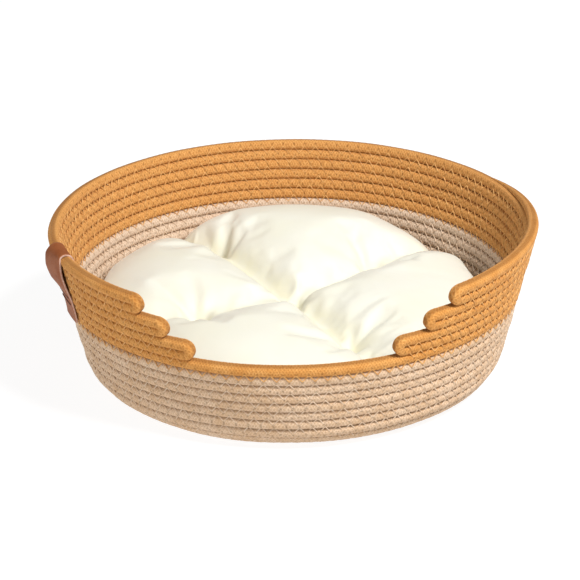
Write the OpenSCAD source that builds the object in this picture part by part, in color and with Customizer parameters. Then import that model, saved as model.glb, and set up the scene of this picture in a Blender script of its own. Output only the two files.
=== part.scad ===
// Round pet bed: a coiled and sewn two-colour cotton rope basket with a stepped opening at the
// front, one leather strap folded over the rim and a loose tufted cushion.
// Origin: centre of the underside of the base. +Z up, the opening faces -Y. Millimetres.

/* [Rope] */
// Diameter of the cotton rope
rope_d = 9; // [7:0.5:12]
// How far neighbouring rows press into each other where they are sewn together
sewn_bite = 0.5; // [0.3:0.1:1]
// How much the underside of the base is pressed flat
base_flat = 0.4; // [0.2:0.1:0.8]
// Diameter of the sewing thread
thread_d = 1.2; // [0.8:0.1:1.6]

/* [Basket] */
// Radius of the flat base, out to the centre of its last row
base_r = 143.5; // [110:0.5:190]
// Radius of the bend from the base into the wall
corner_r = 25; // [18:1:35]
// Slope of the wall above the bend, in degrees from the floor
wall_slope = 76; // [68:1:86]
// Natural rows of the wall, with those in the bend
natural_rows = 9; // [7:1:12]
// Caramel rows that run right round, across the front as well
caramel_full_rows = 1; // [1:1:3]

/* [Opening] */
// Scallops above the full caramel rows, each made of two rows joined by a turn at either end
scallops = 3; // [2:1:4]
// Angle from the middle of the front to the end of the lowest scallop
opening_half_angle = 26; // [15:0.5:32]
// How much further back each scallop ends than the one below it, in degrees
scallop_step = 6.6; // [4:0.1:9]

/* [Leather strap] */
// Width of the strap
strap_w = 28; // [18:1:36]
// Thickness of the leather
strap_t = 2.6; // [1.8:0.1:3.2]
// Place of the strap round the rim, in degrees from +X
strap_angle = 199; // [190:1:215]
// Length of the outer leg below the rim row
strap_outer_len = 53; // [46:1:58]
// Length of the inner leg below the rim row
strap_inner_len = 38; // [30:1:44]
// How far the strap's finger loop stands off the outside of the wall
strap_gap = 5; // [3:0.5:8]
// Distance of the upper row of strap stitches below the rim row
strap_seam_depth = 31; // [28:1:36]
// Distance between the two rows of strap stitches
strap_seam_pitch = 6; // [4:0.5:8]
// Length of one strap stitch
strap_stitch_len = 3.2; // [2:0.1:3.6]
// Stitches in each row
strap_stitches = 5; // [3:1:5]

/* [Cushion] */
// Thickness of the filled cushion
cushion_t = 54; // [40:1:60]
// Thickness of the cover fabric, with its padding
cover_t = 1; // [0.8:0.1:2]
// Clearance between the cushion and the rope rows beside and below it
cushion_gap = 1.2; // [0.5:0.1:4]
// Radius of the circle on which the outer tufts lie
tuft_circle_r = 92; // [70:1:105]
// Outer tufts, besides the one in the middle
outer_tufts = 4; // [3:1:6]
// Place of the first outer tuft, in degrees from +X
tuft_start_angle = 40; // [0:1:90]
// Depth of the hollow that each tuft pulls into the top
tuft_depth = 14; // [8:1:18]
// Radius of the ball that shapes each hollow
tuft_ball_r = 30; // [22:1:36]
// Diameter of the tie that goes through the cushion at each tuft
tuft_tie_d = 2.4; // [1.6:0.1:3]

/* [Hidden] */
$fn = 96;
TINY = 0.03;
BIG = 600;
FRONT = 270;

rope_r = rope_d / 2;
thread_r = thread_d / 2;
row_pitch = rope_d - sewn_bite;
base_z = rope_r - base_flat;
bend_len = corner_r * wall_slope * PI / 180;
base_rings = floor((base_r - rope_r) / row_pitch) + 1;
// The rope is squeezed thinner in a scallop's tight turn, which starts a little inside its rows.
turn_rope_r = row_pitch / 2 - 0.4;
turn_overlap = 12;
first_scallop = natural_rows + caramel_full_rows;
rim_row = first_scallop + 2 * scallops - 1;

// The wall's profile in the radial plane: s runs along it, from 0 where the bend starts.
function bend_angle(s) = s / corner_r * 180 / PI;
function profile_r(s) =
    s <= 0 ? base_r + s :
    s < bend_len ? base_r + corner_r * sin(bend_angle(s)) :
    base_r + corner_r * sin(wall_slope) + (s - bend_len) * cos(wall_slope);
function profile_z(s) = base_z + (
    s <= 0 ? 0 :
    s < bend_len ? corner_r * (1 - cos(bend_angle(s))) :
    corner_r * (1 - cos(wall_slope)) + (s - bend_len) * sin(wall_slope));

// Centre of a row: row 0 is the first one of the wall, negative rows lie in the base.
function row_centre(row) = [profile_r((row + 1) * row_pitch), profile_z((row + 1) * row_pitch)];

// Half angle of the opening at a row, 0 where the row runs right round.
function open_half(row) =
    row < first_scallop ? 0 :
    opening_half_angle + scallop_step * floor((row - first_scallop) / 2);

// Seat of a thread in the groove between a row and the next: side 1 outside, -1 inside.
function seam_seat(row, side) =
    let (a = row_centre(row), b = row_centre(row + 1), d = b - a, gap = norm(d))
    let (h = sqrt(pow(rope_r + thread_r + TINY, 2) - pow(gap / 2, 2)))
    (a + b) / 2 + side * h * [d.y, -d.x] / gap;

// Wall frame at the rim row: a point given as [along the wall upwards, out of the wall].
wall_up = [cos(wall_slope), sin(wall_slope)];
wall_out = [sin(wall_slope), -cos(wall_slope)];
function at_rim(p) = row_centre(rim_row) + p.x * wall_up + p.y * wall_out;

// The strap's middle line over the rim, from the end of the inner leg to the outer tip.
strap_touch = rope_r + strap_t / 2 + 0.7;
strap_out = rope_r + strap_t / 2 + strap_gap;
strap_knots = [
    [-strap_inner_len, -strap_touch],
    [-strap_inner_len / 2, -strap_touch],
    [-2, -strap_touch],
    [rope_r + 1.5, -strap_touch / 2],
    [rope_r + strap_t / 2 + 2, strap_out / 4],
    [rope_r - 0.5, strap_out * 0.85],
    [-8, strap_out],
    [-strap_seam_depth + 10, strap_out * 0.82],
    [-strap_seam_depth + 2, strap_touch],
    [-strap_seam_depth - strap_seam_pitch - 3, strap_touch],
    [-strap_outer_len, strap_touch + 1.5]
];
strap_steps = 8;

// A point of the smooth curve through the knots, at step i of the stretch after knot k.
function knot(k) = strap_knots[max(0, min(len(strap_knots) - 1, k))];
function curve_point(k, t) =
    0.5 * (2 * knot(k) + t * (knot(k + 1) - knot(k - 1))
    + t * t * (2 * knot(k - 1) - 5 * knot(k) + 4 * knot(k + 1) - knot(k + 2))
    + t * t * t * (3 * knot(k) - knot(k - 1) - 3 * knot(k + 1) + knot(k + 2)));
strap_line = concat(
    [for (k = [0:len(strap_knots) - 2], i = [0:strap_steps - 1]) curve_point(k, i / strap_steps)],
    [strap_knots[len(strap_knots) - 1]]);
function line_normal(i) =
    let (last = len(strap_line) - 1)
    let (d = strap_line[min(last, i + 1)] - strap_line[max(0, i - 1)])
    [d.y, -d.x] / norm(d);
function strap_side(side) =
    [for (i = [0:len(strap_line) - 1]) at_rim(strap_line[i] + side * strap_t / 2 * line_normal(i))];
function reversed(list) = [for (i = [len(list) - 1:-1:0]) list[i]];

// Cushion: a thick disc with a round edge that clears the sloping wall.
cushion_edge_r = cushion_t / 2;
floor_top = base_z + rope_r;
cushion_bottom = floor_top + cushion_gap;
cushion_mid = cushion_bottom + cushion_edge_r;
wall_r_at_mid = profile_r(bend_len + (cushion_mid - profile_z(bend_len)) / sin(wall_slope));
cushion_edge_centre =
    wall_r_at_mid - (cushion_edge_r + rope_r + cushion_gap) / sin(wall_slope);
cushion_top = cushion_bottom + cushion_t;
tuft_floor = cushion_top - tuft_depth;
tuft_places = concat([[0, 0]], [for (i = [0:outer_tufts - 1])
    tuft_circle_r * [cos(tuft_start_angle + i * 360 / outer_tufts),
        sin(tuft_start_angle + i * 360 / outer_tufts)]]);

NATURAL = [0.80, 0.68, 0.58];
CARAMEL = [0.78, 0.47, 0.25];
CARAMEL_THREAD = [0.66, 0.36, 0.17];
LEATHER = [0.50, 0.24, 0.16];
CREAM = [0.93, 0.91, 0.86];

// One row of rope, or of thread, swept round the axis; open_half cuts it away at the front.
module swept(half) {
    if (half == 0)
        rotate_extrude() children();
    else
        rotate([0, 0, FRONT + half])
            rotate_extrude(angle = 360 - 2 * half) children();
}

module rope_section(row) {
    translate(row_centre(row)) circle(rope_r);
}

// The tight turn that joins the two rows of a scallop at one of its ends.
module scallop_turn(row, side) {
    middle = (row_centre(row) + row_centre(row + 1)) / 2;
    rotate([0, 0, FRONT + side * open_half(row)])
        translate([middle.x, 0, middle.y])
            rotate([0, 180 - wall_slope, 0])
                rotate([0, 0, (side > 0 ? 180 : 0) - turn_overlap])
                    rotate_extrude(angle = 180 + 2 * turn_overlap)
                        translate([row_pitch / 2, 0]) circle(turn_rope_r);
}

module scallop(row) {
    swept(open_half(row)) {
        rope_section(row);
        rope_section(row + 1);
    }
    for (side = [-1, 1])
        scallop_turn(row, side);
}

module base_coil() {
    color(NATURAL)
        rotate_extrude()
            intersection() {
                union() {
                    for (i = [1:base_rings])
                        rope_section(-i);
                    // The start of the coil, tucked into the middle.
                    square([max(row_centre(-base_rings).x, rope_r), base_z + rope_r * 0.8]);
                }
                square(BIG);
            }
}

module natural_wall() {
    color(NATURAL)
        rotate_extrude()
            for (row = [0:natural_rows - 1])
                rope_section(row);
}

module caramel_wall() {
    color(CARAMEL) {
        rotate_extrude()
            for (row = [natural_rows:first_scallop - 1])
                rope_section(row);
        for (i = [0:scallops - 1])
            scallop(first_scallop + 2 * i);
    }
}

// Threads in the grooves above the rows from first to last, on both faces.
module seam_threads(first, last) {
    for (row = [first:last], side = [-1, 1])
        swept(open_half(row + 1))
            translate(seam_seat(row, side)) circle(thread_r, $fn = 6);
}

module base_thread() {
    color(NATURAL) seam_threads(1 - base_rings, -2);
}

module natural_thread() {
    color(NATURAL) seam_threads(-1, natural_rows - 2);
}

module caramel_thread() {
    color(CARAMEL_THREAD) seam_threads(natural_rows - 1, rim_row - 1);
}

module leather_strap() {
    color(LEATHER)
        rotate([0, 0, strap_angle])
            translate([0, strap_w / 2, 0])
                rotate([90, 0, 0])
                    linear_extrude(strap_w)
                        polygon(concat(strap_side(1), reversed(strap_side(-1))));
}

// One row of stitches across the strap, at a depth below the rim row, on its outer or inner leg.
module stitch_row(depth, side) {
    spot = at_rim([-depth, side * (strap_touch + strap_t / 2)]);
    stitch_pitch = strap_w / (strap_stitches + 0.5);
    for (i = [0:strap_stitches - 1])
        translate([spot.x, (i - (strap_stitches - 1) / 2) * stitch_pitch, spot.y])
            rotate([90, 0, 0])
                cylinder(h = strap_stitch_len, r = thread_r, center = true);
}

module strap_thread() {
    color(LEATHER)
        rotate([0, 0, strap_angle])
            for (depth = [strap_seam_depth, strap_seam_depth + strap_seam_pitch], side = [-1, 1])
                if (depth < (side > 0 ? strap_outer_len : strap_inner_len) - thread_d)
                    stitch_row(depth, side);
}

// The cushion's closed shape, drawn in by inset on every face.
module cushion_shape(inset) {
    difference() {
        rotate_extrude() {
            translate([cushion_edge_centre, cushion_mid]) circle(cushion_edge_r - inset);
            translate([0, cushion_bottom + inset])
                square([cushion_edge_centre, cushion_t - 2 * inset]);
        }
        for (p = tuft_places)
            translate([p.x, p.y, tuft_floor + tuft_ball_r]) sphere(tuft_ball_r + inset);
    }
}

module tuft_holes() {
    for (p = tuft_places)
        translate([p.x, p.y, cushion_bottom - 1])
            cylinder(h = cushion_t + 2, r = tuft_tie_d / 2 + TINY);
}

module cushion_cover(from, to) {
    difference() {
        intersection() {
            cushion_shape(0);
            translate([-BIG / 2, -BIG / 2, from]) cube([BIG, BIG, to - from]);
        }
        cushion_shape(cover_t);
        tuft_holes();
    }
}

module cushion_bottom_panel() {
    color(CREAM) cushion_cover(cushion_bottom - 1, cushion_mid);
}

module cushion_top_panel() {
    color(CREAM) cushion_cover(cushion_mid, cushion_top + 1);
}

module cushion_filling() {
    color("white")
        difference() {
            cushion_shape(cover_t);
            tuft_holes();
        }
}

module tuft_ties() {
    color(CREAM)
        for (p = tuft_places)
            translate([p.x, p.y, cushion_bottom])
                cylinder(h = tuft_floor - cushion_bottom, r = tuft_tie_d / 2);
}

base_coil();
natural_wall();
caramel_wall();
base_thread();
natural_thread();
caramel_thread();
leather_strap();
strap_thread();
cushion_bottom_panel();
cushion_top_panel();
cushion_filling();
tuft_ties();
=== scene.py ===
"""Round sewn-rope pet bed: coiled rope, zigzag sewing, leather strap and a tufted cushion."""
import math

import bpy
import numpy as np
from mathutils import Matrix, Vector, noise


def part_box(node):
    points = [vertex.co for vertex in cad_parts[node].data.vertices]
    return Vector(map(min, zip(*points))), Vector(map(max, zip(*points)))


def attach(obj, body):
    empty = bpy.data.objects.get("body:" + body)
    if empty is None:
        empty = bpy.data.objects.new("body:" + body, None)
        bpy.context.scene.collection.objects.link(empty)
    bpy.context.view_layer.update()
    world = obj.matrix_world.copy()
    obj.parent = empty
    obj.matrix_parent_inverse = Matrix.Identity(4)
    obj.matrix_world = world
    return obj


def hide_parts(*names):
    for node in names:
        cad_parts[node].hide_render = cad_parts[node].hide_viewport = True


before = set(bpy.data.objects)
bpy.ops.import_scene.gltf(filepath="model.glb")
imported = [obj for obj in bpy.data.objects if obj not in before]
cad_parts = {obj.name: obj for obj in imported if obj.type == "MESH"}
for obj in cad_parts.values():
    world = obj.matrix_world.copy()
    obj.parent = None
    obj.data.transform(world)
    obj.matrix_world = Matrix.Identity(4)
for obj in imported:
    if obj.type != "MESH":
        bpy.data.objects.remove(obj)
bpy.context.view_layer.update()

MM = 0.001

# ---------------------------------------------------------------- the basket's shape, as in the CAD
ROPE_R = 4.5 * MM
ROW_PITCH = 8.5 * MM
BASE_Z = 4.1 * MM
BASE_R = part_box("base_coil")[1].x - ROPE_R
CORNER_R = 25 * MM
SLOPE = math.radians(76)
FRONT = 270.0                     # degrees from +X
JOIN = 200.0                      # where the natural rope ends and the caramel one starts, under the strap
CUT = 30.0                        # where the caramel rope ends on the rim
FIRST_SCALLOP = 10                # row number of the lowest scalloped row
SCALLOPS = 3
SCALLOP_LEFT = (27.0, 33.1, 39.3)   # degrees from the front to each scallop's end, on -X
SCALLOP_RIGHT = (26.6, 34.2, 40.5)  # and on +X
LEVEL_SHIFT = -0.57               # the helix is level with the CAD's round rows half way round
BASE_ROWS = 17.3                  # rows of the flat base, out from its middle
TOP_ROW = FIRST_SCALLOP + 2 * SCALLOPS - 1

# ---------------------------------------------------------------- rope and thread
RING_STEP = 1.3 * MM
BASE_RING_STEP = 2.2 * MM
ROPE_SIDES = 18
BASE_ROPE_SIDES = 14
HALF_SIDE = ROW_PITCH / 2 + 0.12 * MM   # half the rope's height in its row
SECTION_POWER = 2 / 2.7           # below 1 the section is squarer than a circle, as pressed rope is
BRAID_PITCH = 5.6 * MM
BRAID_DEPTH = 0.07 * MM
FLAT_UNDER = 0.1 * MM             # the underside is pressed flat by its own weight
RIM_TAPER = 140 * MM              # the rope's end is worked thinner over this length
THIN_END = 0.16                   # share of the rope's thickness left at its end
THREAD_R = 0.42 * MM
STITCH_PERIOD = 9.5 * MM
STITCH_REACH = 0.72               # share of the row pitch that the zigzag spans
# One slanting stitch from a row to the next: shares along it, and how far it lies off the rope's middle.
STITCH_STEPS = np.array([0.0, 0.14, 0.32, 0.5, 0.68, 0.86])
STITCH_LIFT = np.array([4.05, 4.15, 4.10, 3.90, 4.10, 4.15]) * MM
OUTSIDE_PRESS = 0.15 * MM         # the thread is pulled in deeper on the outside
JOIN_PROUD = 0.35 * MM            # the caramel thread stands on the last natural row outside
JOIN_SINK = 0.2 * MM              # and sinks into it inside
DENT_DEPTH, DENT_WIDTH = 0.17 * MM, 0.7 * MM
HOLE_DEPTH, HOLE_WIDTH, HOLE_HEIGHT, HOLE_UP = 0.20 * MM, 0.9 * MM, 0.8 * MM, 0.6 * MM


def vec_rows(x, y, z):
    return np.stack([x, y, z], -1)


def unit(rows):
    """Each row of an array scaled to length 1."""
    return rows / np.linalg.norm(rows, axis=1)[:, None]


def lengths_along(points):
    """Length along a line of points, up to each of them."""
    return np.concatenate([[0], np.cumsum(np.linalg.norm(np.diff(points, axis=0), axis=1))])


def tube_quads(rings, sides, closed=False):
    """The quads of a tube whose points come ring by ring; closed joins the last ring to the first."""
    i, j = np.meshgrid(np.arange(rings if closed else rings - 1), np.arange(sides), indexing="ij")
    i2, j2 = (i + 1) % rings, (j + 1) % sides
    return np.stack([i * sides + j, i * sides + j2, i2 * sides + j2, i2 * sides + j], -1).reshape(-1, 4)


def add_object(name, data):
    ob = bpy.data.objects.new(name, data)
    bpy.context.scene.collection.objects.link(ob)
    return ob


def plain_mesh(name, verts, faces):
    me = bpy.data.meshes.new(name)
    me.from_pydata(verts, [], faces)
    return add_object(name, me)


def solid(name, verts, quads, ngons=()):
    """A smooth mesh object from arrays of points and quads, with any larger faces as lists."""
    me = bpy.data.meshes.new(name)
    quads = np.asarray(quads, np.int32)
    me.vertices.add(len(verts))
    me.vertices.foreach_set("co", np.asarray(verts, np.float32).ravel())
    loops = [quads.ravel()] + [np.asarray(f, np.int32) for f in ngons]
    sizes = np.concatenate([np.full(len(quads), 4), [len(f) for f in ngons]]).astype(np.int32)
    flat = np.concatenate(loops).astype(np.int32)
    me.loops.add(len(flat))
    me.loops.foreach_set("vertex_index", flat)
    me.polygons.add(len(sizes))
    me.polygons.foreach_set("loop_start", np.concatenate([[0], np.cumsum(sizes)[:-1]]).astype(np.int32))
    me.polygons.foreach_set("use_smooth", np.ones(len(sizes), bool))
    me.update(calc_edges=True)
    me.validate()
    return add_object(name, me)


def corner_points(me):
    """The point at each corner of each face."""
    points = np.zeros(len(me.loops), np.int32)
    me.loops.foreach_get("vertex_index", points)
    return points


def put_uv(ob, name, uv):
    """A UV map from one pair of values for each corner."""
    layer = ob.data.uv_layers.new(name=name)
    layer.data.foreach_set("uv", np.stack(uv, -1).astype(np.float32).ravel())


def profile(level):
    """Radius, height and slope of the wall's middle surface at a row level; row 0 is the wall's first."""
    s = (np.asarray(level, float) + 1) * ROW_PITCH
    bend = CORNER_R * SLOPE
    a = np.clip(s / CORNER_R, 0, SLOPE)
    r = BASE_R + np.minimum(s, 0) + CORNER_R * np.sin(a) + np.maximum(s - bend, 0) * math.cos(SLOPE)
    z = BASE_Z + CORNER_R * (1 - np.cos(a)) + np.maximum(s - bend, 0) * math.sin(SLOPE)
    return r, z, a


def wobble(turn):
    """Small unevenness of a hand-guided coil: how far a row stands in or out, in metres."""
    t = np.radians(turn)
    return 0.30 * MM * (np.sin(1.7 * t + 0.6) * np.sin(0.31 * t) + 0.7 * np.sin(4.3 * t + 1.9)
                        + 0.5 * np.sin(9.1 * t))


def wall_frame(turn):
    """Place, outward normal, upward direction and forward direction of the rope at a turn in degrees.

    turn grows by 360 with each row, so row j at angle a is at turn 360 * j + a."""
    turn = np.asarray(turn, float)
    r, z, a = profile(turn / 360 + LEVEL_SHIFT)
    t = np.radians(turn)
    c, s = np.cos(t), np.sin(t)
    out = vec_rows(np.sin(a) * c, np.sin(a) * s, -np.cos(a))
    up = vec_rows(np.cos(a) * c, np.cos(a) * s, np.sin(a))
    ahead = vec_rows(-s, c, np.zeros_like(c))
    return vec_rows(r * c, r * s, z) + out * wobble(turn)[..., None], out, up, ahead


TURN_START = 360 * (-BASE_ROWS - LEVEL_SHIFT)
TURN_WALL = 360 * (-0.5 - LEVEL_SHIFT)   # the mesh of the base ends here, and the wall's starts
TURN_JOIN = 360 * (FIRST_SCALLOP - 1) + JOIN
TURN_END = 360 * (TOP_ROW + 1) + CUT
TURN_SEWN = TURN_END - 28         # the thin end past here is tucked in, not sewn over
# Length along the coil, to change lengths into turns and back.
turn_table = np.arange(TURN_START - 5, TURN_END + 400, 0.5)
length_table = lengths_along(wall_frame(turn_table)[0])


def length_at(turn):
    return np.interp(turn, turn_table, length_table)


def turn_at(length):
    return np.interp(length, length_table, turn_table)


def row_number(turn):
    """Row j of a turn, where the rows are counted from the cut on the rim."""
    return np.floor((np.asarray(turn, float) - CUT) / 360)


def has_rope(turn):
    """True where a row of rope exists at this turn: not in the opening and not past the rope's end."""
    turn = np.asarray(turn, float)
    row = row_number(turn)
    angle = turn - 360 * row
    scallop = np.clip((row - FIRST_SCALLOP) // 2, 0, SCALLOPS - 1).astype(int)
    left, right = -np.array(SCALLOP_LEFT)[scallop], np.array(SCALLOP_RIGHT)[scallop]
    off = angle - FRONT
    opening = (row >= FIRST_SCALLOP) & (off > left) & (off < right)
    return (turn >= TURN_START) & (turn <= TURN_END) & ~opening


def helix_stretch(first, last, step=RING_STEP):
    """A route along the coil: places, ways out and up, turns, and 1 where the rope is sewn."""
    count = max(2, int(abs(length_at(last) - length_at(first)) / step))
    turns = turn_at(np.linspace(length_at(first), length_at(last), count + 1))
    place, out, up, _ = wall_frame(turns)
    return place, out, up, turns, np.ones(len(turns))


def scallop_turn(turn, way):
    """The route of the half circle that takes the rope up a row; way is +1 anticlockwise. It isn't sewn."""
    low, out0, _, ahead = wall_frame(turn)
    high, out1, _, _ = wall_frame(turn + 360)
    middle, up = (low + high) / 2, (high - low)
    radius = np.linalg.norm(up) / 2
    up = up / (2 * radius)
    beta = np.linspace(0, math.pi, 13)[1:-1, None]
    place = middle + radius * (-np.cos(beta) * up + np.sin(beta) * way * ahead)
    out = np.repeat(((out0 + out1) / np.linalg.norm(out0 + out1))[None], len(place), 0)
    turns = turn + 360 * beta[:, 0] / math.pi
    return place, out, np.repeat(up[None], len(place), 0), turns, np.zeros(len(place))


def caramel_route():
    """The caramel rope in one length: to and fro round the back, with a tight turn at each scallop."""
    parts = []
    at = TURN_JOIN
    for i in range(SCALLOPS):
        left = 360 * (FIRST_SCALLOP + 2 * i) + FRONT - SCALLOP_LEFT[i]
        right = 360 * (FIRST_SCALLOP + 2 * i) + FRONT + SCALLOP_RIGHT[i]
        parts += [helix_stretch(at, left), scallop_turn(left, 1)]
        parts += [helix_stretch(left + 360, right), scallop_turn(right, -1)]
        at = right + 360
    parts.append(helix_stretch(at, TURN_END))
    return [np.concatenate(x) for x in zip(*parts)]


def stitch_phases(turns, sewn):
    """The place along the zigzag above a row and along the one below it, with whether each is there."""
    above = length_at(turns) / STITCH_PERIOD
    below = length_at(turns - 360) / STITCH_PERIOD - 0.5
    return (above, has_rope(turns + 360) & (sewn > 0)), (below, has_rope(turns - 360) & (sewn > 0))


def stitch_dents(turns, sewn, height):
    """How deep the thread and the needle press in at points at a height over the row's middle."""
    slant = ROW_PITCH / math.hypot(ROW_PITCH, STITCH_PERIOD / 2)
    depth = np.zeros_like(height)
    for (phase, there), h in zip(stitch_phases(turns, sewn), (height, -height)):
        off = np.abs(phase - np.round(phase))[:, None] * STITCH_PERIOD
        line = h / ROW_PITCH * STITCH_PERIOD / 2
        away = np.abs(off - line) * slant
        dent = DENT_DEPTH * np.exp(-(away / DENT_WIDTH) ** 2)
        hole = HOLE_DEPTH * np.exp(-((off / HOLE_WIDTH) ** 2 + ((h - HOLE_UP) / HOLE_HEIGHT) ** 2))
        depth += np.where(h > -HOLE_UP, dent + hole, 0) * there[:, None]
    return depth


def braid_swell(along, psi):
    """How far the rope's surface stands out: crossing strands, and a slow unevenness."""
    u = along[:, None]
    wave = 2 * math.pi * u / BRAID_PITCH
    strands = np.maximum(np.cos(wave + 4 * psi), np.cos(wave - 4 * psi)) - 0.45
    uneven = 0.12 * MM * np.sin(u / (13 * MM) + 2 * psi) * np.sin(u / (31 * MM) + psi)
    return BRAID_DEPTH * strands + uneven * 0.8


def pressed(share):
    """A circle's cosine or sine, moved towards a square's."""
    return np.sign(share) * np.abs(share) ** SECTION_POWER


def rope_faces(rings, sides):
    """The quads of a rope and its two rounded ends, and the faces that close them."""
    start_cap = rings * sides
    end_cap = start_cap + 2 * sides
    here = np.arange(sides)
    after = (here + 1) % sides
    quads = [tube_quads(rings, sides)]
    for a, b, flip in ((0, start_cap, True), (start_cap, start_cap + sides, True),
                       (start_cap - sides, end_cap, False), (end_cap, end_cap + sides, False)):
        band = np.stack([a + here, a + after, b + after, b + here], -1)
        quads.append(band[:, ::-1] if flip else band)
    ends = [list(start_cap + sides + here)[::-1], list(end_cap + sides + here)]
    return np.concatenate(quads), ends


def close_seam(me, share):
    """The share of the way round at each corner, without a jump from 1 back to 0 inside a quad."""
    starts = np.zeros(len(me.polygons), np.int32)
    me.polygons.foreach_get("loop_start", starts)
    quad = starts[:, None] + np.arange(4)
    quad = quad[quad[:, -1] < len(share)]
    corners = share[quad]
    wraps = (corners.max(1) - corners.min(1)) > 0.5
    share[quad] = np.where(wraps[:, None] & (corners < 0.5), corners + 1, corners)
    return share


def rope_mesh(name, route, sides, taper=0.0):
    """A closed tube of braided rope along a route; its end gets thinner over the taper's length."""
    place, out, up, turns, sewn = route
    ahead = unit(np.gradient(place, axis=0))
    out = unit(out - (out * ahead).sum(1)[:, None] * ahead)
    side = np.cross(ahead, out)
    along = lengths_along(place)
    size = np.ones(len(place))
    if taper > 0:
        left = np.clip((along[-1] - along) / taper, 0, 1)
        size = THIN_END + (1 - THIN_END) * left * (1.5 - 0.5 * left * left)
        place = place - up * ((1 - size) * ROW_PITCH * 0.6)[:, None]
    psi = np.linspace(0, 2 * math.pi, sides, endpoint=False)
    c, s = np.cos(psi), np.sin(psi)
    plain = place[:, None] + out[:, None] * (pressed(c) * ROPE_R)[None, :, None] * size[:, None, None] \
        + side[:, None] * (pressed(s) * HALF_SIDE)[None, :, None] * size[:, None, None]
    height = ((plain - place[:, None]) * up[:, None]).sum(2)
    swell = braid_swell(along, psi) * size[:, None]
    swell = swell - stitch_dents(turns, sewn, height) * np.clip(np.abs(c) * 1.6 - 0.2, 0, 1)
    radial = out[:, None] * c[None, :, None] + side[:, None] * s[None, :, None]
    verts = (plain + radial * swell[..., None]).reshape(-1, 3)
    verts[:, 2] = np.maximum(verts[:, 2], FLAT_UNDER)
    caps = [place[end] + (plain[end] - place[end]) * grow + sign * ahead[end] * ROPE_R * push * size[end]
            for end, sign in ((0, -1), (-1, 1)) for grow, push in ((0.82, 0.5), (0.45, 0.8))]
    ob = solid(name, np.concatenate([verts] + caps), *rope_faces(len(place), sides))
    # One map runs in metres along the rope and once round it, and one says where along its zigzags it is.
    corner = corner_points(ob.data)
    ring = np.concatenate([np.arange(len(place)), [0, 0, -1, -1]])[corner // sides]
    put_uv(ob, "rope", (along[ring], close_seam(ob.data, psi[corner % sides] / (2 * math.pi))))
    phases = [np.where(there, phase, 0.5) for phase, there in stitch_phases(turns, sewn)]
    put_uv(ob, "stitch", (phases[0][ring], phases[1][ring]))
    return ob


def thread_path(first, last, face, at_join):
    """The zigzag between two turns on one face, 1 outside and -1 inside: its points and its ways out."""
    half = STITCH_PERIOD / 2
    tips = np.arange(math.ceil(length_at(first) / half), math.floor(length_at(last) / half))
    share = np.tile(STITCH_STEPS, len(tips))
    tip = np.repeat(tips, len(STITCH_STEPS))
    across = 0.5 + STITCH_REACH * (np.where(tip % 2 == 0, share, 1 - share) - 0.5)
    turns = turn_at((tip + share) * half)
    low, out_low, _, _ = wall_frame(turns)
    high, out_high, _, _ = wall_frame(turns + 360)
    out = unit(out_low * (1 - across)[:, None] + out_high * across[:, None])
    lift = np.tile(STITCH_LIFT, len(tips))
    if at_join:
        on_natural = (turns < TURN_JOIN) & (across < 0.45)
        lift = lift + np.where(on_natural, JOIN_PROUD if face > 0 else -JOIN_SINK, 0)
    if face > 0:
        lift = lift - OUTSIDE_PRESS
    path = low + (high - low) * across[:, None] + face * out * lift[:, None]
    path[:, 2] = np.maximum(path[:, 2], FLAT_UNDER + THREAD_R)
    return path, out


def thread_mesh(name, runs, at_join=False, sides=5):
    """Zigzag threads: each run is (first turn, last turn); the thread crosses from each row to the next."""
    psi = np.linspace(0, 2 * math.pi, sides, endpoint=False)
    verts, quads, count = [], [], 0
    for face in (1, -1):
        for first, last in runs:
            path, out = thread_path(first, last, face, at_join)
            if len(path) == 0:
                continue
            ahead = unit(np.gradient(path, axis=0))
            side = unit(np.cross(ahead, out))
            top = np.cross(side, ahead)
            ring = top[:, None] * np.cos(psi)[None, :, None] + side[:, None] * np.sin(psi)[None, :, None]
            verts.append((path[:, None] + ring * THREAD_R).reshape(-1, 3))
            quads.append(tube_quads(len(path), sides) + count)
            count += len(verts[-1])
    return solid(name, np.concatenate(verts), np.concatenate(quads))


def seam_runs(first, last):
    """The stretches between two turns where both rows that a seam joins are there."""
    turns = np.arange(first, last, 0.25)
    there = has_rope(turns) & has_rope(turns + 360) & (turns + 360 < TURN_SEWN)
    edges = np.flatnonzero(np.diff(np.concatenate([[0], there.astype(int), [0]])))
    return [(turns[a], turns[b - 1]) for a, b in zip(edges[::2], edges[1::2])]


# ---------------------------------------------------------------- build the basket
base_route = helix_stretch(TURN_START, TURN_WALL, BASE_RING_STEP)
base_rope = rope_mesh("coiled_base_rope", base_route, BASE_ROPE_SIDES)
natural_rope = rope_mesh("natural_wall_rope", helix_stretch(TURN_WALL, TURN_JOIN), ROPE_SIDES)
caramel_rope = rope_mesh("caramel_wall_rope", caramel_route(), ROPE_SIDES, RIM_TAPER)
base_sewing = thread_mesh("base_zigzag_thread", seam_runs(TURN_START, TURN_WALL - 360))
natural_sewing = thread_mesh("natural_zigzag_thread", seam_runs(TURN_WALL - 360, TURN_JOIN - 360))
caramel_sewing = thread_mesh("caramel_zigzag_thread", seam_runs(TURN_JOIN - 360, TURN_END), at_join=True)

# ---------------------------------------------------------------- leather strap
STRAP_ANGLE = 198.7
STRAP_W = 28 * MM
STRAP_T = 1.9 * MM
STRAP_TURN = 360 * TOP_ROW + STRAP_ANGLE
# Up and out of the rim row's middle, in millimetres, from the inner end over the rim to the outer tip.
STRAP_LINE = ((-37, -5.6), (-20, -5.6), (-5, -5.6), (2.2, -4.9), (5.1, -2.0), (5.8, 1.6), (3.6, 5.0),
              (-3, 7.4), (-11, 8.4), (-20, 7.9), (-27, 6.6), (-32, 5.7), (-44, 5.7), (-51, 6.2), (-53, 6.6))
LOOP_STAND = 0.9 * MM             # how far the finger loop stands off in the middle of its width
LOOP_LEAN = 2.3 * MM              # and how much more or less at its two edges
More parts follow.
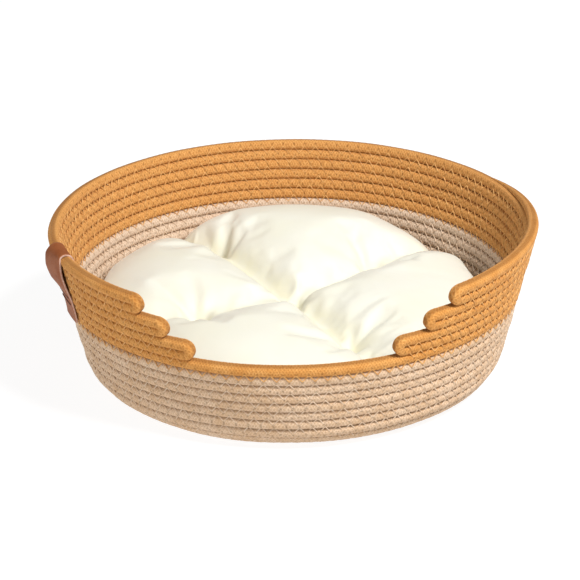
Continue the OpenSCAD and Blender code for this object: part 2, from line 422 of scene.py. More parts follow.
# Rows of stitches: millimetres below the rim row, and 1 for the outside or -1 for the inside.
STRAP_SEAMS = ((31, 1), (31, -1), (37, 1))
SEAM_STITCHES = 5
LEG_OUT = 5.8                     # millimetres that the stitched legs lie off the rows' middle
STRAP_STITCH_LEN = 3.2 * MM
STRAP_THREAD_R = 0.55 * MM


def smooth_line(knots, steps=8):
    """A smooth curve through the knots."""
    k = np.array(knots, float)
    k = np.concatenate([[2 * k[0] - k[1]], k, [2 * k[-1] - k[-2]]])
    t = np.linspace(0, 1, steps, endpoint=False)[:, None]
    spans = []
    for a, b, c, d in zip(k[:-3], k[1:-2], k[2:-1], k[3:]):
        bend, twist = 2 * a - 5 * b + 4 * c - d, 3 * b - a - 3 * c + d
        spans.append(0.5 * (2 * b + t * (c - a) + t * t * bend + t ** 3 * twist))
    return np.concatenate(spans + [k[-2:-1]])


def strap_point(line_mm, across, lift):
    """World points for the strap, from its line in millimetres and places across and off it in metres."""
    place, out, up, _ = wall_frame(STRAP_TURN)
    line = np.asarray(line_mm) * MM
    ahead = unit(np.gradient(line, axis=0))
    normal = np.stack([ahead[:, 1], -ahead[:, 0]], -1)
    line = line[:, None] + normal[:, None] * lift[None, :, None]
    # The finger loop stands off further at its far edge than at the edge towards the opening.
    loose = np.interp(line[:, 0, 0] / MM, (-32, -20, -8, 2, 6), (0, 0.8, 1, 0.8, 0.1)) * (line[:, 0, 1] > 0)
    lean = loose[:, None] * (LOOP_STAND - LOOP_LEAN * across / (STRAP_W / 2))[None, :]
    p = place + line[..., :1] * up + (line[..., 1:] + lean[..., None]) * out
    r = np.linalg.norm(place[:2])
    turn = (across / r)[None, :] * np.ones(len(line))[:, None]
    c, s = np.cos(turn), np.sin(turn)
    return vec_rows(p[..., 0] * c - p[..., 1] * s, p[..., 0] * s + p[..., 1] * c, p[..., 2])


def make_strap():
    line = smooth_line(STRAP_LINE)
    w, t = STRAP_W / 2, STRAP_T / 2
    flat = np.linspace(-w + 0.5 * MM, w - 0.5 * MM, 15)
    edge = [(w - 0.08 * MM, t * 0.72), (w + 0.05 * MM, 0.0), (w - 0.08 * MM, -t * 0.72)]
    loop = [(x, t) for x in flat] + edge + [(x, -t) for x in flat[::-1]] + [(-x, -h) for x, h in edge]
    across = np.array([x for x, h in loop])
    lift = np.array([h for x, h in loop])
    pts = strap_point(line, across, lift)
    n, k = pts.shape[:2]
    ends = [list(range(k))[::-1], list(range((n - 1) * k, n * k))]
    ob = solid("leather_loop_strap", pts.reshape(-1, 3), tube_quads(n, k), ends)
    # The cut sides and ends show the pale core of the leather.
    right, left = len(flat), 2 * len(flat) + len(edge)
    pale = np.isin(np.tile(np.arange(k), n - 1), [right, right + 1, left, left + 1])
    ob.data.polygons.foreach_set("material_index", np.concatenate([pale, [1, 1]]).astype(np.int32))
    along = lengths_along(line) * MM
    corner = corner_points(ob.data)
    put_uv(ob, "strap", (along[corner // k], across[corner % k]))
    return ob


def capsules(name, pairs, radius, sides=8):
    """Short rounded threads, one for each pair of end points."""
    verts, quads, caps = [], [], []
    psi = np.linspace(0, 2 * math.pi, sides, endpoint=False)
    for a, b in pairs:
        a, b = np.array(a), np.array(b)
        d = (b - a) / np.linalg.norm(b - a)
        x = np.cross(d, (0, 0, 1) if abs(d[2]) < 0.9 else (1, 0, 0))
        x /= np.linalg.norm(x)
        ring = np.cos(psi)[:, None] * x + np.sin(psi)[:, None] * np.cross(d, x)
        bands = ((a - d * radius, 0.35), (a - d * radius * 0.5, 0.85), (a, 1), ((a + b) / 2, 1.08), (b, 1),
                 (b + d * radius * 0.5, 0.85), (b + d * radius, 0.35))
        start, last = len(verts), len(verts) + (len(bands) - 1) * sides
        for at, size in bands:
            verts += list(at + ring * radius * size)
        quads.append(tube_quads(len(bands), sides) + start)
        caps += [list(range(start, start + sides))[::-1], list(range(last, last + sides))]
    return solid(name, np.array(verts), np.concatenate(quads), caps)


def make_strap_stitches():
    pairs = []
    pitch = STRAP_W / (SEAM_STITCHES + 0.5)
    _, out, _, _ = wall_frame(STRAP_TURN)
    for depth, side in STRAP_SEAMS:
        line = [(-depth + step, side * LEG_OUT) for step in (0.5, 0, -0.5)]
        push = out * side * (STRAP_T / 2 + 0.05 * MM)
        for i in range(SEAM_STITCHES):
            mid = (i - (SEAM_STITCHES - 1) / 2) * pitch
            across = np.array([mid - STRAP_STITCH_LEN / 2, mid + STRAP_STITCH_LEN / 2])
            ends = strap_point(line, across, np.zeros(2))[1]
            pairs.append((ends[0] + push, ends[1] + push))
    return capsules("strap_stitches", pairs, STRAP_THREAD_R)


strap = make_strap()
strap_sewing = make_strap_stitches()

# ---------------------------------------------------------------- cushion
# Places of the five tufts, in millimetres from the cushion's middle.
TUFTS = ((4, -8), (70, 49), (-60, 85), (-73, -42), (48, -88))
# Valleys from the middle tuft to the others and on to the edge: end points, depth and width in millimetres.
VALLEYS = (((4, -8), (70, 49), 10, 15), ((4, -8), (-60, 85), 13, 15), ((4, -8), (-73, -42), 7, 15),
           ((4, -8), (48, -88), 12, 14), ((-60, 85), (-108, 126), 18, 15), ((70, 49), (128, 88), 8, 15),
           ((-73, -42), (-150, -70), 4, 14), ((48, -88), (78, -138), 8, 13))
TUFT_TOP, TUFT_BOTTOM, SEAM_Z = 43 * MM, 20 * MM, 35 * MM
# In millimetres: the upper panel's height over the seam in its middle, and how much higher it is at the back,
# lower at the front and higher at the left, each RISE_OVER away from the middle.
CROWN, BACK_RISE, FRONT_FALL, LEFT_RISE, RISE_OVER = 30, 17, 7, 2, 150
FOLD_HEIGHT = 2.4 * MM
LOWER_BELLY = 22 * MM
# Where the edge is drawn in: angle in degrees, depth as a share of the radius, and width in radians.
NOTCHES = ((131, 0.055, 0.10), (35, 0.02, 0.12), (-60, 0.02, 0.10))
CUSHION_R = 159 * MM
CUSHION_AT = (-4 * MM, 4 * MM)
GRID = 84
FLOOR_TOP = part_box("base_coil")[1].z
CLOTH_FRAMES = 22
CLOTH_GROWTH = 0.06
CAP = 13 * MM                     # the furthest that filling may move a point


def disc_point(a, b):
    """A point of the unit disc for a point of the square from -1 to 1."""
    return a * math.sqrt(1 - b * b / 2), b * math.sqrt(1 - a * a / 2)


def off_line(x, y, a, b):
    """Distance from a stretch of straight line, all in millimetres."""
    dx, dy = b[0] - a[0], b[1] - a[1]
    t = max(0.0, min(1.0, ((x - a[0]) * dx + (y - a[1]) * dy) / (dx * dx + dy * dy)))
    return math.hypot(x - a[0] - t * dx, y - a[1] - t * dy)


def top_height(x, y):
    """Height of the upper panel before it is filled, in metres, for a place in metres."""
    xm, ym = x / MM, y / MM
    r = min(1.0, math.hypot(x, y) / CUSHION_R)
    rise = (BACK_RISE if ym > 0 else FRONT_FALL) * ym / RISE_OVER - LEFT_RISE * xm / RISE_OVER
    crown = (CROWN + rise) * MM * max(0.0, 1 - r ** 6) ** 0.45
    sink = max(depth * math.exp(-(off_line(xm, ym, a, b) / width) ** 2) for a, b, depth, width in VALLEYS)
    high = SEAM_Z + crown - sink * MM * math.sqrt(max(0.0, 1 - r ** 8))
    # Soft folds that run out from each tuft, and its pinch.
    for k, (tx, ty) in enumerate(TUFTS):
        d, way = math.hypot(xm - tx, ym - ty), math.atan2(ym - ty, xm - tx)
        fold = math.cos(7 * way + 1.3 * k + 0.8 * math.sin(2 * way + k)) * math.exp(-d / 20) * min(1, d / 7)
        high += FOLD_HEIGHT * fold
        high += (TUFT_TOP - high) * math.exp(-(d / 9) ** 2)
    return high + 0.7 * MM * noise.noise(Vector((x * 24, y * 24, 3.1)))


def edge_share(way):
    """The cushion's radius in a direction, as a share of the full one."""
    share = 1
    for angle, depth, width in NOTCHES:
        share -= depth * math.exp(-((way - math.radians(angle)) / width) ** 2)
    return share


def low_height(x, y):
    """Height of the lower panel before it is filled, in metres, for a place in metres."""
    r = min(1.0, math.hypot(x, y) / CUSHION_R)
    low = SEAM_Z - LOWER_BELLY * math.sqrt(max(0.0, 1 - r ** 4))
    pull = max(math.exp(-((x / MM - tx) ** 2 + (y / MM - ty) ** 2) / 14 ** 2) for tx, ty in TUFTS)
    return low + (TUFT_BOTTOM - low) * pull


def cushion_start():
    """The two panels, laid over each other and joined at their edge, with the tufts drawn in.

    The edge's points are given in order too, for the seam that runs along them."""
    verts, top_i, low_i, rim = [], {}, {}, []
    n = GRID
    for i in range(n + 1):
        for j in range(n + 1):
            x, y = disc_point(2 * i / n - 1, 2 * j / n - 1)
            way = math.atan2(y, x)
            share = edge_share(way)
            x, y = x * CUSHION_R * share, y * CUSHION_R * share
            top_i[i, j] = low_i[i, j] = len(verts)
            if i in (0, n) or j in (0, n):
                rim.append((way, len(verts)))
                verts.append((x, y, SEAM_Z))
            else:
                low_i[i, j] = len(verts) + 1
                verts += [(x, y, top_height(x, y)), (x, y, low_height(x, y))]
    faces = []
    for i in range(n):
        for j in range(n):
            quad = [(i, j), (i + 1, j), (i + 1, j + 1), (i, j + 1)]
            faces.append([top_i[k] for k in quad])
            faces.append([low_i[k] for k in quad[::-1]])
    ob = plain_mesh("tufted_cushion", verts, faces)
    pin_cushion(ob, verts)
    return ob, [k for _, k in sorted(rim)]


def pin_cushion(ob, verts):
    """Hold the tufts fast and the valleys of the upper panel softly while the cushion fills."""
    pins = ob.vertex_groups.new(name="tufts")
    for k, (x, y, z) in enumerate(verts):
        near = min(math.hypot(x / MM - tx, y / MM - ty) for tx, ty in TUFTS)
        line = min(off_line(x / MM, y / MM, a, b) - depth * 0.3 for a, b, depth, _ in VALLEYS)
        if near < 4.5:
            pins.add([k], 1.0, "REPLACE")
        elif z > SEAM_Z and line < 3:
            pins.add([k], 0.3, "REPLACE")


def inner_wall(height):
    """Radius of the rope crests inside the basket at a height."""
    levels = np.linspace(-1, 16, 400)
    r, z, a = profile(levels)
    r, z = r - ROPE_R * np.sin(a), z + ROPE_R * np.cos(a)
    return np.interp(height, z, r)


def cloth_stop():
    """The floor and wall that the cushion is pressed against while it fills."""
    floor = FLOOR_TOP + 0.6 * MM
    rings = [(1 * MM, floor)]
    for z in (9, 12, 16, 22, 30, 40, 60, 90, 130):
        rings.append((max(20 * MM, float(inner_wall(z * MM)) - 1.6 * MM), max(z * MM, floor)))
    k = 64
    verts = [(r * math.cos(2 * math.pi * j / k), r * math.sin(2 * math.pi * j / k), z)
             for r, z in rings for j in range(k)]
    faces = [[i * k + j, (i + 1) * k + j, (i + 1) * k + (j + 1) % k, i * k + (j + 1) % k]
             for i in range(len(rings) - 1) for j in range(k)]
    ob = plain_mesh("cloth_stop", verts, faces)
    ob.modifiers.new("stop", "COLLISION")
    ob.collision.thickness_outer = 0.001
    ob.collision.cloth_friction = 2
    return ob


def evaluated_mesh(ob):
    """The object's mesh with its modifiers applied, which are then taken off."""
    done = bpy.data.meshes.new_from_object(ob.evaluated_get(bpy.context.evaluated_depsgraph_get()))
    ob.modifiers.clear()
    return done


def fill_cushion(ob):
    """Fill the closed cover with pressure, as cloth, and give back where its points come to lie."""
    cloth = ob.modifiers.new("cloth", "CLOTH")
    st = cloth.settings
    st.quality = 6
    st.mass = 0.2
    st.air_damping = 2.0
    st.tension_stiffness = st.compression_stiffness = 18
    st.shear_stiffness = 5
    st.bending_stiffness = 0.6
    st.use_pressure = True
    st.uniform_pressure_force = 3.5
    st.vertex_group_mass = "tufts"
    st.pin_stiffness = 1
    st.shrink_min = st.shrink_max = -CLOTH_GROWTH
    st.effector_weights.gravity = 0
    cloth.collision_settings.use_collision = True
    cloth.collision_settings.distance_min = 0.001
    cloth.collision_settings.use_self_collision = False
    cloth.point_cache.frame_start = 1
    cloth.point_cache.frame_end = CLOTH_FRAMES
    for f in range(1, CLOTH_FRAMES + 1):
        bpy.context.scene.frame_set(f)
    done = evaluated_mesh(ob)
    co = mesh_points(done)
    bpy.data.meshes.remove(done)
    bpy.context.scene.frame_set(1)
    return co


def mesh_points(me):
    co = np.zeros(len(me.vertices) * 3, np.float32)
    me.vertices.foreach_get("co", co)
    return co.reshape(-1, 3).astype(float)


def settle(ob, start, filled):
    """Cap how far each point has moved, and lay the cushion in its place against floor and wall."""
    move = filled - start
    far = np.linalg.norm(move, axis=1)
    co = start + move * np.minimum(1, CAP / np.maximum(far, 1e-9))[:, None]
    co[:, 0] += CUSHION_AT[0]
    co[:, 1] += CUSHION_AT[1]
    co[:, 2] = np.maximum(co[:, 2], FLOOR_TOP + 0.5 * MM)
    r = np.hypot(co[:, 0], co[:, 1])
    limit = inner_wall(co[:, 2]) - 1.0 * MM
    co[:, :2] *= np.minimum(1, limit / np.maximum(r, 1e-9))[:, None]
    ob.data.vertices.foreach_set("co", co.astype(np.float32).ravel())
    ob.data.update()
    return co


def subdivide(ob):
    mod = ob.modifiers.new("sub", "SUBSURF")
    mod.levels = mod.render_levels = 1
    done = evaluated_mesh(ob)
    ob.vertex_groups.clear()
    old, ob.data = ob.data, done
    bpy.data.meshes.remove(old)
    for p in ob.data.polygons:
        p.use_smooth = True


def mark_fold_shade(ob):
    """How close each point lies to a valley or tuft, seen from above, for the painted warm shade there."""
    co = (mesh_points(ob.data)[:, :2] - CUSHION_AT) / MM
    painted_fold_shade = np.zeros(len(co))
    for a, b, depth, width in VALLEYS:
        a, d = np.array(a, float), np.subtract(b, a)
        t = np.clip(((co - a) @ d) / (d @ d), 0, 1)
        far = np.linalg.norm(co - a - t[:, None] * d, axis=1)
        painted_fold_shade = np.maximum(painted_fold_shade, depth / 15 * np.exp(-(far / (0.8 * width)) ** 2))
    for tuft in TUFTS:
        painted_fold_shade = np.maximum(painted_fold_shade, np.exp(-(np.linalg.norm(co - tuft, axis=1) / 13) ** 2))
    layer = ob.data.attributes.new("painted_fold_shade", "FLOAT", "POINT")
    layer.data.foreach_set("value", painted_fold_shade.astype(np.float32))


def seam_ridge(points):
    """The sewn edge where the two panels meet: a thin folded lip round the cushion."""
    p = np.asarray(points)
    for _ in range(3):
        p = (np.roll(p, 1, 0) + 2 * p + np.roll(p, -1, 0)) / 4
    ahead = unit(np.roll(p, -1, 0) - np.roll(p, 1, 0))
    out = unit(np.cross(ahead, (0, 0, 1)))
    up = np.cross(out, ahead)
    sides, reach, half_thick = 8, 1.5 * MM, 0.7 * MM
    psi = np.linspace(0, 2 * math.pi, sides, endpoint=False)
    ring = out[:, None] * np.cos(psi)[None, :, None] * reach \
        + up[:, None] * np.sin(psi)[None, :, None] * half_thick
    verts = (p[:, None] + ring).reshape(-1, 3)
    return solid("cushion_edge_seam", verts, tube_quads(len(p), sides, closed=True))


def make_ties():
    """A cross of thread over and under the cushion at each tuft, and the tie that joins the two."""
    pairs = []
    for tx, ty in TUFTS:
        x, y = tx * MM + CUSHION_AT[0], ty * MM + CUSHION_AT[1]
        for z in (TUFT_TOP + 0.2 * MM, TUFT_BOTTOM - 0.2 * MM):
            for way in (0.5, 2.07):
                dx, dy = 2.2 * MM * math.cos(way), 2.2 * MM * math.sin(way)
                pairs.append(((x - dx, y - dy, z), (x + dx, y + dy, z)))
        pairs.append(((x, y, TUFT_BOTTOM), (x, y, TUFT_TOP)))
    return capsules("tuft_stitches", pairs, 0.5 * MM)


cushion, rim_points = cushion_start()
laid = mesh_points(cushion.data)
filled = laid
stop = cloth_stop()
filled = fill_cushion(cushion)
bpy.data.objects.remove(stop)
cushion_points = settle(cushion, laid, filled)
seam = seam_ridge(cushion_points[rim_points])
subdivide(cushion)
mark_fold_shade(cushion)
ties = make_ties()

# ---------------------------------------------------------------- materials
def new_material(name):
    m = bpy.data.materials.new(name)
    m.use_nodes = True
    nt = m.node_tree
    return m, nt, nt.nodes["Principled BSDF"]


def node(nt, kind, **props):
    n = nt.nodes.new(kind)
    for k, v in props.items():
        setattr(n, k, v)
    return n


def put(nt, socket, value):
    """Link a node's output to a socket, or set the socket to a plain value."""
    if isinstance(value, bpy.types.NodeSocket):
        nt.links.new(value, socket)
    else:
        socket.default_value = value


def calc(nt, op, a, b=0.0, clamp=False):
    n = node(nt, "ShaderNodeMath", operation=op, use_clamp=clamp)
    put(nt, n.inputs[0], a)
    put(nt, n.inputs[1], b)
    return n.outputs[0]


def times(nt, a, b):
    return calc(nt, "MULTIPLY", a, b)


def squared(nt, a):
    return calc(nt, "POWER", calc(nt, "ABSOLUTE", a), 2.0)


def on_object(nt):
    return node(nt, "ShaderNodeTexCoord").outputs["Object"]


def parts_of(nt, vector):
    """The separate numbers of a vector."""
    split = node(nt, "ShaderNodeSeparateXYZ")
    nt.links.new(vector, split.inputs[0])
    return split.outputs


def map_parts(nt, name):
    """The numbers of a UV map."""
    return parts_of(nt, node(nt, "ShaderNodeUVMap", uv_map=name).outputs[0])


def spread(nt, value, low, high, to_low, to_high):
    n = node(nt, "ShaderNodeMapRange", clamp=True)
    for socket, v in zip(n.inputs[:5], (value, low, high, to_low, to_high)):
        put(nt, socket, v)
    return n.outputs[0]


def mix_colour(nt, how, amount, a, b):
    n = node(nt, "ShaderNodeMix", data_type="RGBA", blend_type=how)
    put(nt, n.inputs[0], amount)
    put(nt, n.inputs[6], a)
    put(nt, n.inputs[7], b)
    return n.outputs[2]


def noise_of(nt, vector, scale, detail=3.0, rough=0.6):
    n = node(nt, "ShaderNodeTexNoise")
    put(nt, n.inputs["Vector"], vector)
    put(nt, n.inputs["Scale"], scale)
    put(nt, n.inputs["Detail"], detail)
    put(nt, n.inputs["Roughness"], rough)
    return n.outputs["Fac"]


def bump(nt, height, strength, distance, under=None):
    n = node(nt, "ShaderNodeBump")
    put(nt, n.inputs["Height"], height)
    put(nt, n.inputs["Strength"], strength)
    put(nt, n.inputs["Distance"], distance)
    if under is not None:
        nt.links.new(under, n.inputs["Normal"])
    return n.outputs["Normal"]


YARN_PITCH = 2.5 * MM
YARNS = 7
# The needle's holes lie at this height on the rope's face, as a share of its half thickness.
NEEDLE_AT, NEEDLE_TALL, NEEDLE_WIDE = 0.175, 0.16, 0.75 * MM


def needle_holes(nt, v):
    """Spots at the tips of the zigzags above and below the row."""
    phases = map_parts(nt, "stitch")
    down = calc(nt, "SINE", times(nt, v, 2 * math.pi))
    holes = 0.0
    for phase, height in ((phases[0], NEEDLE_AT), (phases[1], -NEEDLE_AT)):
        off = calc(nt, "SUBTRACT", phase, calc(nt, "ROUND", phase))
        off = squared(nt, times(nt, off, STITCH_PERIOD / NEEDLE_WIDE))
        far = squared(nt, calc(nt, "DIVIDE", calc(nt, "ADD", down, height), NEEDLE_TALL))
        spot = calc(nt, "EXPONENT", times(nt, calc(nt, "ADD", off, far), -1.0))
        holes = calc(nt, "ADD", holes, spot, clamp=True)
    return holes


def rope_material(name, colour, pale, dark, inside):
    """Braided cotton rope: crossing strands, fine fibres, uneven dye, painted shade in grooves, holes and
    strand gaps, painted light inside.
    """
    m, nt, sh = new_material(name)
    u, v, _ = map_parts(nt, "rope")
    place = on_object(nt)
    sway = noise_of(nt, place, 140.0, 2.0)
    along = calc(nt, "ADD", times(nt, u, 2 * math.pi / YARN_PITCH), times(nt, sway, 9.0))
    round_it = times(nt, v, 2 * math.pi * YARNS)
    one = calc(nt, "SINE", calc(nt, "ADD", along, round_it))
    two = calc(nt, "SINE", calc(nt, "SUBTRACT", along, round_it))
    braid = calc(nt, "MAXIMUM", one, two)
    # Fibres run along the strands.
    lean = node(nt, "ShaderNodeCombineXYZ")
    put(nt, lean.inputs[0], times(nt, u, 260.0))
    put(nt, lean.inputs[1], calc(nt, "ADD", times(nt, u, 420.0), times(nt, v, 22.0)))
    fibres = noise_of(nt, lean.outputs[0], 2.2, 2.0)
    mottle = noise_of(nt, place, 55.0, 3.0)
    specks = noise_of(nt, place, 620.0, 2.0, 0.7)
    steep = calc(nt, "ABSOLUTE", calc(nt, "SINE", times(nt, v, 2 * math.pi)))
    groove_shade = calc(nt, "POWER", steep, 10.0)
    base = mix_colour(nt, "MIX", spread(nt, mottle, 0.35, 0.65, 0.0, 0.8), colour, pale)
    # Painted light: the face inside the basket is painted paler than the outside.
    lit_inside_share = spread(nt, calc(nt, "COSINE", times(nt, v, 2 * math.pi)), -1.0, 0.4, 0.75, 0.0)
    base = mix_colour(nt, "MIX", lit_inside_share, base, inside)
    base = mix_colour(nt, "MIX", spread(nt, fibres, 0.40, 0.62, 0.0, 0.55), base, dark)
    # Painted shade between the crossing strands.
    base = mix_colour(nt, "MIX", spread(nt, braid, -0.2, 0.9, 0.48, 0.0), base, dark)
    base = mix_colour(nt, "MIX", spread(nt, specks, 0.56, 0.72, 0.0, 0.5), base, pale)
    # Painted shade: a darker tone laid in the needle holes and in the grooves between rows.
    shade = tuple(c * 0.42 for c in dark[:3]) + (1,)
    holes = needle_holes(nt, v)
    base = mix_colour(nt, "MIX", times(nt, holes, 0.6), base, shade)
    base = mix_colour(nt, "MIX", times(nt, groove_shade, 0.55), base, shade)
    put(nt, sh.inputs["Base Color"], base)
    put(nt, sh.inputs["Roughness"], spread(nt, fibres, 0.3, 0.7, 0.82, 0.96))
    sh.inputs["Specular IOR Level"].default_value = 0.12
    sh.inputs["Sheen Weight"].default_value = 0.03
    sh.inputs["Sheen Roughness"].default_value = 0.5
    normal = bump(nt, braid, 0.6, 0.35 * MM)
    normal = bump(nt, fibres, 0.5, 0.4 * MM, normal)
    normal = bump(nt, specks, 0.35, 0.3 * MM, normal)
    normal = bump(nt, times(nt, holes, -1.0), 0.6, 0.6 * MM, normal)
    nt.links.new(normal, sh.inputs["Normal"])
    return m


def thread_material(name, colour, other):
    """Twisted thread in two shades that come and go along it."""
    m, nt, sh = new_material(name)
    place = on_object(nt)
    patches = noise_of(nt, place, 160.0, 2.0)
    strands = noise_of(nt, place, 900.0, 2.0)
    base = mix_colour(nt, "MIX", spread(nt, patches, 0.4, 0.6, 0.0, 1.0), colour, other)
    base = mix_colour(nt, "MULTIPLY", spread(nt, strands, 0.4, 0.7, 0.0, 0.35), base, (0.6, 0.5, 0.4, 1))
    put(nt, sh.inputs["Base Color"], base)
    put(nt, sh.inputs["Roughness"], spread(nt, strands, 0.3, 0.7, 0.5, 0.7))
    nt.links.new(bump(nt, strands, 0.4, 0.2 * MM), sh.inputs["Normal"])
    return m


def leather_material():
    """Brown grained leather, worn paler towards its two long edges."""
    m, nt, sh = new_material("strap_leather")
    across = calc(nt, "ABSOLUTE", map_parts(nt, "strap")[1])
    place = on_object(nt)
    cells = node(nt, "ShaderNodeTexVoronoi", feature="DISTANCE_TO_EDGE")
    put(nt, cells.inputs["Vector"], place)
    put(nt, cells.inputs["Scale"], 900.0)
    grain = spread(nt, cells.outputs["Distance"], 0.0, 0.25, 0.0, 1.0)
    clouds = noise_of(nt, place, 70.0, 4.0)
    base = mix_colour(nt, "MIX", spread(nt, clouds, 0.35, 0.65, 0.0, 1.0), (0.345, 0.105, 0.029, 1),
                      (0.265, 0.073, 0.019, 1))
    base = mix_colour(nt, "MIX", spread(nt, grain, 0.0, 1.0, 0.3, 0.0), base, (0.13, 0.04, 0.02, 1))
    worn = spread(nt, across, STRAP_W / 2 - 1.6 * MM, STRAP_W / 2, 0.0, 0.5)
    base = mix_colour(nt, "MIX", worn, base, (0.42, 0.19, 0.11, 1))
    put(nt, sh.inputs["Base Color"], base)
    put(nt, sh.inputs["Roughness"], spread(nt, clouds, 0.3, 0.7, 0.48, 0.62))
    sh.inputs["Specular IOR Level"].default_value = 0.15
    normal = bump(nt, grain, 0.25, 0.2 * MM)
    nt.links.new(bump(nt, clouds, 0.2, 0.8 * MM, normal), sh.inputs["Normal"])
    return m


def cut_edge_material():
    """The fuzzy pale core that shows where the leather is cut."""
    m, nt, sh = new_material("strap_cut_edge")
    place = on_object(nt)
    fuzz = noise_of(nt, place, 700.0, 3.0)
    base = mix_colour(nt, "MIX", spread(nt, fuzz, 0.35, 0.65, 0.0, 1.0), (0.66, 0.46, 0.38, 1),
                      (0.48, 0.28, 0.20, 1))
    put(nt, sh.inputs["Base Color"], base)
    put(nt, sh.inputs["Roughness"], spread(nt, fuzz, 0.3, 0.7, 0.75, 0.95))
    nt.links.new(bump(nt, fuzz, 0.4, 0.3 * MM), sh.inputs["Normal"])
    return m


WEAVE = 1150.0                    # threads of the cushion's cloth in a metre


def cushion_material(name):
    """Ivory brushed satin: a soft sheen, a fine weave and painted warm shade in its folds."""
    m, nt, sh = new_material(name)
    place = on_object(nt)
    x, y, _ = parts_of(nt, place)
    warp = calc(nt, "SINE", times(nt, x, WEAVE * 2 * math.pi))
    weft = calc(nt, "SINE", times(nt, y, WEAVE * 2 * math.pi))
    cloth = times(nt, warp, weft)
    soft = noise_of(nt, place, 18.0, 3.0, 0.5)
    creases = noise_of(nt, place, 75.0, 4.0, 0.55)
    base = mix_colour(nt, "MIX", spread(nt, soft, 0.35, 0.65, 0.0, 1.0), (0.775, 0.765, 0.675, 1),
                      (0.755, 0.74, 0.62, 1))
    # Painted shade: a warm yellow tone laid in the valleys and round the tufts.
    folds = node(nt, "ShaderNodeAttribute", attribute_name="painted_fold_shade").outputs["Fac"]
    folds = times(nt, folds, spread(nt, creases, 0.3, 0.6, 0.2, 0.75))
    base = mix_colour(nt, "MIX", folds, base, (0.80, 0.745, 0.52, 1))
    base = mix_colour(nt, "MIX", spread(nt, cloth, -1.0, 1.0, 0.06, 0.0), base, (0.62, 0.59, 0.47, 1))
    put(nt, sh.inputs["Base Color"], base)
    put(nt, sh.inputs["Roughness"], spread(nt, soft, 0.3, 0.7, 0.46, 0.62))
    sh.inputs["Sheen Weight"].default_value = 0.25
    sh.inputs["Sheen Roughness"].default_value = 0.4
    sh.inputs["Specular IOR Level"].default_value = 0.35
    normal = bump(nt, cloth, 0.12, 0.12 * MM)
    nt.links.new(bump(nt, creases, 0.22, 1.5 * MM, normal), sh.inputs["Normal"])
    return m


def floor_material():
    """A pale grey floor that glows a little, so that it looks white but throws little light back."""
    m, nt, sh = new_material("pale_floor")
    place = on_object(nt)
    haze = noise_of(nt, place, 3.0, 2.0)
    base = mix_colour(nt, "MIX", haze, (0.19, 0.19, 0.19, 1), (0.21, 0.21, 0.21, 1))
    put(nt, sh.inputs["Base Color"], base)
    sh.inputs["Roughness"].default_value = 0.95
    sh.inputs["Specular IOR Level"].default_value = 0.0
    sh.inputs["Emission Color"].default_value = (1, 1, 1, 1)
    sh.inputs["Emission Strength"].default_value = 0.88
    return m


NATURAL = (0.69, 0.475, 0.295, 1)
NATURAL_PALE = (0.82, 0.64, 0.47, 1)
NATURAL_DARK = (0.47, 0.275, 0.145, 1)
CARAMEL = (0.67, 0.315, 0.082, 1)
CARAMEL_PALE = (0.80, 0.43, 0.14, 1)
CARAMEL_DARK = (0.43, 0.145, 0.024, 1)
# Painted light: paler colours for the rope's face inside the basket.
NATURAL_LIT_INSIDE = (0.86, 0.715, 0.575, 1)
CARAMEL_LIT_INSIDE = (0.76, 0.40, 0.135, 1)

rope_natural = rope_material("natural_cotton_rope", NATURAL, NATURAL_PALE, NATURAL_DARK, NATURAL_LIT_INSIDE)
rope_caramel = rope_material("caramel_cotton_rope", CARAMEL, CARAMEL_PALE, CARAMEL_DARK, CARAMEL_LIT_INSIDE)
sewing_natural = thread_material("natural_thread", (0.62, 0.44, 0.29, 1), (0.78, 0.61, 0.45, 1))
sewing_caramel = thread_material("caramel_thread", (0.60, 0.28, 0.072, 1), (0.80, 0.45, 0.15, 1))
sewing_leather = thread_material("dark_brown_thread", (0.10, 0.035, 0.018, 1), (0.16, 0.06, 0.03, 1))
leather = leather_material()
cut_edge = cut_edge_material()
satin = cushion_material("ivory_satin")
satin_thread = thread_material("ivory_thread", (0.88, 0.85, 0.72, 1), (0.80, 0.76, 0.62, 1))

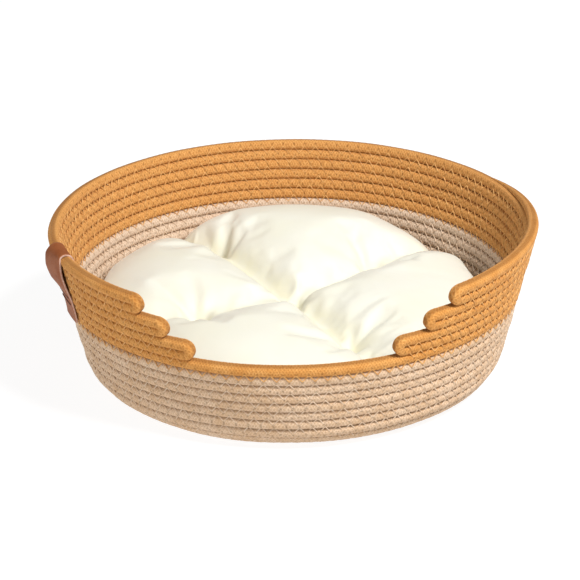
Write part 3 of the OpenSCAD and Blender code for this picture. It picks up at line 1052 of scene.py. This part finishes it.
for ob, looks, body, nodes, slot in (
        (base_rope, [rope_natural], "basket", ["base_coil"], "natural_rope"),
        (natural_rope, [rope_natural], "basket", ["natural_wall"], "natural_rope"),
        (caramel_rope, [rope_caramel], "basket", ["caramel_wall"], "caramel_rope"),
        (base_sewing, [sewing_natural], "basket", ["base_thread"], "natural_sewing"),
        (natural_sewing, [sewing_natural], "basket", ["natural_thread"], "natural_sewing"),
        (caramel_sewing, [sewing_caramel], "basket", ["caramel_thread"], "caramel_sewing"),
        (strap, [leather, cut_edge], "basket", ["leather_strap"], "strap_leather"),
        (strap_sewing, [sewing_leather], "basket", ["strap_thread"], "strap_sewing"),
        (cushion, [satin], "cushion", ["cushion_bottom_panel", "cushion_top_panel", "cushion_filling"],
         "cushion_fabric"),
        (seam, [satin], "cushion", [], "cushion_fabric"),
        (ties, [satin_thread], "cushion", ["tuft_ties"], "cushion_fabric")):
    for look in looks:
        ob.data.materials.append(look)
    if nodes:
        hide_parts(*nodes)
    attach(ob, body)

# ---------------------------------------------------------------- floor, light and camera
FLOOR_HALF = 6.0
floor_corners = [(x * FLOOR_HALF, y * FLOOR_HALF, 0) for x, y in ((-1, -1), (1, -1), (1, 1), (-1, 1))]
floor = plain_mesh("floor", floor_corners, [(0, 1, 2, 3)])
floor.data.materials.append(floor_material())


def area_light(name, place, target, size, power):
    data = bpy.data.lights.new(name, "AREA")
    data.shape = "DISK"
    data.size = size
    data.energy = power
    ob = add_object(name, data)
    ob.location = place
    ob.rotation_euler = (Vector(target) - Vector(place)).to_track_quat("-Z", "Y").to_euler()


MIDDLE = (0, 0, 60 * MM)
area_light("key", (1.02, -1.02, 1.85), MIDDLE, 0.6, 61)
area_light("fill", (-1.5, -1.6, 0.9), MIDDLE, 1.4, 11)

world = bpy.data.worlds.new("world")
bpy.context.scene.world = world
world.use_nodes = True
world.node_tree.nodes["Background"].inputs["Color"].default_value = (1, 1, 1, 1)
world.node_tree.nodes["Background"].inputs["Strength"].default_value = 0.32
bpy.context.scene.view_settings.view_transform = "Standard"

CAMERA_DISTANCE = 2.2458
CAMERA_ELEVATION = math.radians(23.32)
CAMERA_AZIMUTH = math.radians(0.2)
CAMERA_ROLL = math.radians(-0.76)
cam = bpy.data.cameras.new("camera")
cam.lens = 170.6
cam.sensor_width = 36.0
cam.shift_x = -0.0061
cam.shift_y = 0.0078
camera = add_object("camera", cam)
back = Vector((-math.sin(CAMERA_AZIMUTH) * math.cos(CAMERA_ELEVATION),
               -math.cos(CAMERA_AZIMUTH) * math.cos(CAMERA_ELEVATION), math.sin(CAMERA_ELEVATION)))
camera.location = Vector(MIDDLE) + back * CAMERA_DISTANCE
turn = (-back).to_track_quat("-Z", "Y").to_matrix() @ Matrix.Rotation(CAMERA_ROLL, 3, "Z")
camera.rotation_euler = turn.to_euler()
bpy.context.scene.camera = camera
